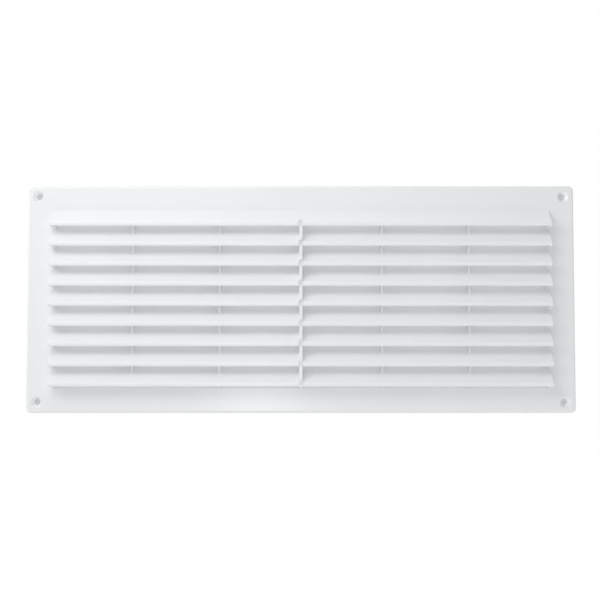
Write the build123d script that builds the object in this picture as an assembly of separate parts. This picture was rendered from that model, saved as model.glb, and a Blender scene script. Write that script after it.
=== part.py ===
from build123d import *
import os
from math import radians, sin, tan

# Wall ventilation grille, moulded in one piece of white plastic: a flat flange that is screwed to the wall
# and a bank of hooded louvres that let air through and shed rain.
# Millimetres. The wall is the plane y = 0, the front looks along -Y, X runs to the right as seen from the
# front and Z is up. The origin is the centre of the back face.

# Flange
plate_width = 260.0
border = 11.7
flange_thickness = 2.5
corner_radius = 2.4
edge_rounding = 1.2

# Louvres: a blade slopes forward and down from the wall to its nose, and a cheek closes each end
louvre_count = 9
louvre_pitch = 9.4
hood_height = 6.5
blade_angle = 45.0
blade_thickness = 1.4
cheek_thickness = 1.6
nose_rounding = 1.0
cheek_rounding = 0.8

# Upright walls across the slots: one mullion in the middle, and ribs set deeper between the blades
mullion_width = 1.5
mullion_setback = 0.2
rib_width = 1.0
rib_setback = 4.2
rib_offsets = (38.3, 79.5)

# Notch in each nose in front of the mullion
notch_width = 1.9
notch_depth = 1.3
notch_height = 2.4
notch_rise = 0.6

# Countersunk screw holes in the corners of the flange
screw_hole_diameter = 3.2
countersink_diameter = 5.4
countersink_angle = 90.0
screw_inset = 5.2

# How far a cutter runs past the surface that it cuts
overrun = 1.0

# Places that follow from the sizes above
plate_height = louvre_count * louvre_pitch + 2 * border
bank_width = plate_width - 2 * border
bank_top = plate_height / 2 - border
bank_bottom = -bank_top
front_y = -flange_thickness
nose_y = front_y - hood_height
slope = 1 / tan(radians(blade_angle))
nose_height = blade_thickness / sin(radians(blade_angle))
louvre_tops = [bank_top - louvre_pitch * index for index in range(louvre_count)]


def face_z(y, louvre_top):
    """Height of a blade's upper face at depth y. The face leaves the flange's front at louvre_top."""
    return louvre_top + (y - front_y) * slope


lip_drop = bank_top - face_z(nose_y, bank_top) + nose_height
last_lip = louvre_tops[-1] - lip_drop


def make_flange():
    """Flat plate on the wall, with round corners and a rounded front edge."""
    outline = Plane.XZ * RectangleRounded(plate_width, plate_height, corner_radius)
    plate = extrude(outline, amount=flange_thickness)
    front = plate.faces().sort_by(Axis.Y)[0]
    return fillet(front.edges(), edge_rounding)


def make_hood():
    """Solid wedge of the top louvre, up to its nose, with the nose and the ends rounded."""
    lip = bank_top - lip_drop
    profile = Polygon(
        (0, face_z(0, bank_top)),
        (nose_y, face_z(nose_y, bank_top)),
        (nose_y, lip),
        (0, lip),
        align=None,
    )
    nose_corners = profile.vertices().group_by(Axis.X)[0]
    profile = Plane.YZ * fillet(nose_corners, nose_rounding)
    hood = extrude(profile, amount=bank_width / 2, both=True)
    for end in (hood.faces().sort_by(Axis.X)[0], hood.faces().sort_by(Axis.X)[-1]):
        outer_edges = [edge for edge in end.edges() if edge.center().Z > lip and edge.center().Y < front_y / 2]
        hood = fillet(outer_edges, cheek_rounding)
    return hood


def make_slot():
    """Sloping air way under the top louvre, from its underside to the face of the louvre below."""
    back, front = overrun, nose_y - overrun
    profile = Plane.YZ * Polygon(
        (back, face_z(back, bank_top) - nose_height),
        (front, face_z(front, bank_top) - nose_height),
        (front, face_z(front, bank_top) - louvre_pitch),
        (back, face_z(back, bank_top) - louvre_pitch),
        align=None,
    )
    return extrude(profile, amount=bank_width / 2 - cheek_thickness, both=True)


def make_crosswall(width, setback):
    """Upright wall through all the slots, from the wall plane to its setback behind the noses.

    It ends inside the top blade, and under the last lip it runs out on the flange."""
    front = nose_y + setback
    inside_blade = nose_height / 2
    profile = Plane.YZ * Polygon(
        (0, face_z(0, bank_top) - inside_blade),
        (front, face_z(front, bank_top) - inside_blade),
        (front, last_lip),
        (front_y, bank_bottom),
        (0, bank_bottom),
        align=None,
    )
    return extrude(profile, amount=width / 2, both=True)


def make_notch():
    """Notch in the nose of the top louvre, a little above its lip."""
    depth = notch_depth + overrun
    centre_z = bank_top - lip_drop + notch_rise + notch_height / 2
    return Pos(0, nose_y - overrun + depth / 2, centre_z) * Box(notch_width, depth, notch_height)


def make_screw_holes():
    """Countersunk through holes in the four corners, drilled from the front."""
    front = Plane.XZ.offset(flange_thickness)
    spacing_x = plate_width - 2 * screw_inset
    spacing_z = plate_height - 2 * screw_inset
    hole = CounterSinkHole(
        screw_hole_diameter / 2, countersink_diameter / 2, flange_thickness, countersink_angle
    )
    return [front * place * hole for place in GridLocations(spacing_x, spacing_z, 2, 2)]


def make_grille():
    """Flange and louvres as one solid."""
    drops = [Pos(0, 0, louvre_top - bank_top) for louvre_top in louvre_tops]
    hood = make_hood()
    slot = make_slot()
    notch = make_notch()
    rib = make_crosswall(rib_width, rib_setback)
    grille = make_flange() + [drop * hood for drop in drops]
    grille -= [drop * slot for drop in drops]
    grille += [Pos(side * offset, 0, 0) * rib for offset in rib_offsets for side in (-1, 1)]
    grille += make_crosswall(mullion_width, mullion_setback)
    grille -= [drop * notch for drop in drops]
    grille -= make_screw_holes()
    return grille


os.makedirs("parts", exist_ok=True)
louvre_grille = make_grille()
export_step(louvre_grille, "parts/louvre_grille.step")
print("solids", len(louvre_grille.solids()), "volume", round(louvre_grille.volume))
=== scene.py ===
from math import cos, radians, sin

import bpy
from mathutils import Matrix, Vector


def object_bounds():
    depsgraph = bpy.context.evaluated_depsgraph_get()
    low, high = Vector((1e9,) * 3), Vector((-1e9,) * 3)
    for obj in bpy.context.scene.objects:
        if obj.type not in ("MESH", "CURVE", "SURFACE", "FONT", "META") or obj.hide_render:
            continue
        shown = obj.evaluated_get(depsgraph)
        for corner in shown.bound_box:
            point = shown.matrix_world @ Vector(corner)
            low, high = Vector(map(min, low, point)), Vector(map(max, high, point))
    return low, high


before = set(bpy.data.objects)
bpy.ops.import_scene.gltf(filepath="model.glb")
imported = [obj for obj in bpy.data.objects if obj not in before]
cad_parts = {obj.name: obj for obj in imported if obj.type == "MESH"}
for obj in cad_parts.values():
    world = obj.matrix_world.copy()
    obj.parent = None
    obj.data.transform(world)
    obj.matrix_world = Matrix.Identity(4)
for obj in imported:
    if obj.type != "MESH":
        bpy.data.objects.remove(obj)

# Looks of a white moulded louvre grille. Metres, in the frame of the CAD model: the back lies in the plane
# y = 0, the front looks along -Y and Z is up.

cad_low, cad_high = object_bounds()
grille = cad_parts["louvre_grille"]

# White plastic: its tone and its gloss drift a little over the surface, and it has a fine moulded grain
plastic_ior = 1.5
darker_tone = (0.850, 0.866, 0.877, 1.0)
lighter_tone = (0.868, 0.883, 0.893, 1.0)
darker_below = 0.3
lighter_above = 0.7
lowest_roughness = 0.20
highest_roughness = 0.26
drift_scale = 26.0
drift_detail = 3.0
grain_scale = 3500.0
grain_detail = 2.0
grain_strength = 0.12
grain_height = 0.00003

# Camera: nearly square to the front and a little below its middle
image_width = 600.0
focal_length_px = 906.7
camera_distance = 0.430
camera_elevation = radians(-2.64)
camera_near_limit = 0.01
aim_offset = Vector((-0.0004, 0.0, -0.0005))
flange_front = Vector((0.0, -0.0025, 0.0))

# Soft lamps: a key to the left, a nearer one above on the left, a weak fill low on the right and a small one
# just below the camera, which puts a soft highlight on the flange.
# Each has its place, its width and its power.
lamps = (
    ("key", Vector((-0.785, -0.453, 0.423)), 0.55, 2.48),
    ("top", Vector((-0.12, -0.25, 0.25)), 0.25, 0.405),
    ("fill", Vector((0.25, -0.25, -0.20)), 0.20, 0.10),
    ("front", Vector((-0.042, -0.46, -0.075)), 0.06, 0.10),
)

# Light from all round, weaker from the front, where the lamps stand. One level passes into the other over a
# band on both sides of the grille's plane. The background is white.
ambient_front = 0.45
ambient_behind = 1.0
ambient_band = 0.2
background_level = 1.0
white = (1.0, 1.0, 1.0, 1.0)

# Floor, far enough below the grille to stay out of the main picture
floor_drop = 0.30
floor_radius = 1.2
floor_sides = 64
floor_tone = 0.9
floor_glow_near = 0.42
floor_glow_far = 0.60
floor_glow_start = 0.30
floor_glow_end = 0.60

# Backing behind the screw holes: a grey panel, shaded by the lamps through the holes; its grey tone adds
# painted shade there
backing_inset = 0.0020
backing_gap = 0.0002
backing_shade_tone = 0.74


def new_material(name):
    """Empty node material, with its nodes, its links and its output."""
    material = bpy.data.materials.new(name)
    material.use_nodes = True
    nodes = material.node_tree.nodes
    nodes.clear()
    return material, nodes, material.node_tree.links, nodes.new("ShaderNodeOutputMaterial")


def add_math(nodes, links, operation, first, second):
    """Math node on two sockets."""
    node = nodes.new("ShaderNodeMath")
    node.operation = operation
    links.new(first, node.inputs[0])
    links.new(second, node.inputs[1])
    return node.outputs["Value"]


def add_noise(nodes, links, place, scale, detail):
    """Noise over the surface, from 0 to 1."""
    noise = nodes.new("ShaderNodeTexNoise")
    noise.inputs["Scale"].default_value = scale
    noise.inputs["Detail"].default_value = detail
    links.new(place, noise.inputs["Vector"])
    return noise.outputs["Fac"]


def add_seen_rays(nodes, links):
    """1 for rays that show the surroundings: from the camera, in a reflection or through glass."""
    path = nodes.new("ShaderNodeLightPath").outputs
    mirrored = add_math(nodes, links, "MAXIMUM", path["Is Glossy Ray"], path["Is Transmission Ray"])
    return add_math(nodes, links, "MAXIMUM", path["Is Camera Ray"], mirrored)


def make_white_plastic():
    """White moulded plastic: satin, with a faint drift of tone and gloss and a fine moulded grain."""
    material, nodes, links, output = new_material("moulded_white_plastic")
    shader = nodes.new("ShaderNodeBsdfPrincipled")
    shader.inputs["IOR"].default_value = plastic_ior
    links.new(shader.outputs["BSDF"], output.inputs["Surface"])
    place = nodes.new("ShaderNodeTexCoord").outputs["Object"]

    drift = add_noise(nodes, links, place, drift_scale, drift_detail)
    tone = nodes.new("ShaderNodeValToRGB")
    darker, lighter = tone.color_ramp.elements
    darker.position = darker_below
    darker.color = darker_tone
    lighter.position = lighter_above
    lighter.color = lighter_tone
    links.new(drift, tone.inputs["Fac"])
    links.new(tone.outputs["Color"], shader.inputs["Base Color"])

    gloss = nodes.new("ShaderNodeMapRange")
    gloss.inputs["To Min"].default_value = lowest_roughness
    gloss.inputs["To Max"].default_value = highest_roughness
    links.new(drift, gloss.inputs["Value"])
    links.new(gloss.outputs["Result"], shader.inputs["Roughness"])

    bump = nodes.new("ShaderNodeBump")
    bump.inputs["Strength"].default_value = grain_strength
    bump.inputs["Distance"].default_value = grain_height
    links.new(add_noise(nodes, links, place, grain_scale, grain_detail), bump.inputs["Height"])
    links.new(bump.outputs["Normal"], shader.inputs["Normal"])
    return material


def make_floor_material():
    """Pale floor that looks white where no shadow falls: its own tone, plus a glow for seen rays only."""
    material, nodes, links, output = new_material("floor")
    matte = nodes.new("ShaderNodeBsdfDiffuse")
    matte.inputs["Color"].default_value = (floor_tone, floor_tone, floor_tone, 1.0)
    place = nodes.new("ShaderNodeTexCoord").outputs["Object"]
    distance = nodes.new("ShaderNodeVectorMath")
    distance.operation = "LENGTH"
    links.new(place, distance.inputs[0])
    level = nodes.new("ShaderNodeMapRange")
    level.inputs["From Min"].default_value = floor_glow_start
    level.inputs["From Max"].default_value = floor_glow_end
    level.inputs["To Min"].default_value = floor_glow_near
    level.inputs["To Max"].default_value = floor_glow_far
    links.new(distance.outputs["Value"], level.inputs["Value"])
    glow = nodes.new("ShaderNodeEmission")
    seen = add_seen_rays(nodes, links)
    links.new(add_math(nodes, links, "MULTIPLY", seen, level.outputs["Result"]), glow.inputs["Strength"])
    both = nodes.new("ShaderNodeAddShader")
    links.new(matte.outputs["BSDF"], both.inputs[0])
    links.new(glow.outputs["Emission"], both.inputs[1])
    links.new(both.outputs["Shader"], output.inputs["Surface"])
    return material


def make_backing_material():
    """Grey that shows only from the front, so that the screw holes look dark and the back stays in view:
    painted shade, added to the shade the lamps give the panel through the holes.
    """
    material, nodes, links, output = new_material("backing")
    matte = nodes.new("ShaderNodeBsdfDiffuse")
    # Grey tone below white: painted shade seen through the screw holes
    matte.inputs["Color"].default_value = (backing_shade_tone, backing_shade_tone, backing_shade_tone, 1.0)
    clear = nodes.new("ShaderNodeBsdfTransparent")
    seen = nodes.new("ShaderNodeLightPath").outputs["Is Camera Ray"]
    behind = nodes.new("ShaderNodeNewGeometry").outputs["Backfacing"]
    front_only = add_math(nodes, links, "SUBTRACT", seen, behind)
    mix = nodes.new("ShaderNodeMixShader")
    links.new(front_only, mix.inputs["Fac"])
    links.new(clear.outputs["BSDF"], mix.inputs[1])
    links.new(matte.outputs["BSDF"], mix.inputs[2])
    links.new(mix.outputs["Shader"], output.inputs["Surface"])
    return material


def add_stage(name, corners, material):
    """One flat face of the surroundings, which isn't part of the grille."""
    mesh = bpy.data.meshes.new(name)
    mesh.from_pydata(corners, [], [tuple(range(len(corners)))])
    mesh.materials.append(material)
    piece = bpy.data.objects.new(name, mesh)
    bpy.context.scene.collection.objects.link(piece)
    return piece


def add_floor():
    """Round floor below the grille."""
    turn = radians(360.0) / floor_sides
    angles = [turn * side for side in range(floor_sides)]
    rim = [(floor_radius * cos(angle), floor_radius * sin(angle), 0.0) for angle in angles]
    floor = add_stage("floor", rim, make_floor_material())
    floor.location.z = cad_low.z - floor_drop


def add_backing():
    """Panel just behind the back face and inside its outline."""
    left, right = cad_low.x + backing_inset, cad_high.x - backing_inset
    low, high = cad_low.z + backing_inset, cad_high.z - backing_inset
    depth = cad_high.y + backing_gap
    corners = [(left, depth, low), (right, depth, low), (right, depth, high), (left, depth, high)]
    add_stage("backing", corners, make_backing_material())


def add_lamp(name, place, size, power):
    """Soft lamp that looks at the middle of the grille."""
    lamp = bpy.data.lights.new(name, "AREA")
    lamp.size = size
    lamp.energy = power
    holder = bpy.data.objects.new(name, lamp)
    holder.visible_camera = False
    holder.location = place
    holder.rotation_euler = (flange_front - place).to_track_quat("-Z", "Y").to_euler()
    bpy.context.scene.collection.objects.link(holder)


def make_world():
    """Soft light on the grille from all round, in front of a white background."""
    world = bpy.data.worlds.new("studio")
    bpy.context.scene.world = world
    world.use_nodes = True
    nodes, links = world.node_tree.nodes, world.node_tree.links
    nodes.clear()
    output = nodes.new("ShaderNodeOutputWorld")
    sky = nodes.new("ShaderNodeBackground")
    sky.inputs["Color"].default_value = white
    links.new(sky.outputs["Background"], output.inputs["Surface"])

    direction = nodes.new("ShaderNodeSeparateXYZ")
    links.new(nodes.new("ShaderNodeTexCoord").outputs["Generated"], direction.inputs["Vector"])
    ambient = nodes.new("ShaderNodeMapRange")
    ambient.inputs["From Min"].default_value = -ambient_band
    ambient.inputs["From Max"].default_value = ambient_band
    ambient.inputs["To Min"].default_value = ambient_front
    ambient.inputs["To Max"].default_value = ambient_behind
    links.new(direction.outputs["Y"], ambient.inputs["Value"])

    level = nodes.new("ShaderNodeMapRange")
    level.inputs["To Max"].default_value = background_level
    links.new(add_seen_rays(nodes, links), level.inputs["Value"])
    links.new(ambient.outputs["Result"], level.inputs["To Min"])
    links.new(level.outputs["Result"], sky.inputs["Strength"])


def add_camera():
    """Camera at the photograph's place."""
    lens = bpy.data.cameras.new("camera")
    lens.lens = lens.sensor_width * focal_length_px / image_width
    lens.clip_start = camera_near_limit
    camera = bpy.data.objects.new("camera", lens)
    away = Vector((0.0, -cos(camera_elevation), sin(camera_elevation)))
    camera.location = flange_front + camera_distance * away
    aim = flange_front + aim_offset
    camera.rotation_euler = (aim - camera.location).to_track_quat("-Z", "Y").to_euler()
    bpy.context.scene.collection.objects.link(camera)
    bpy.context.scene.camera = camera


grille.material_slots[0].material = make_white_plastic()
add_floor()
add_backing()
for lamp_values in lamps:
    add_lamp(*lamp_values)
make_world()
add_camera()
bpy.context.scene.view_settings.view_transform = "Standard"
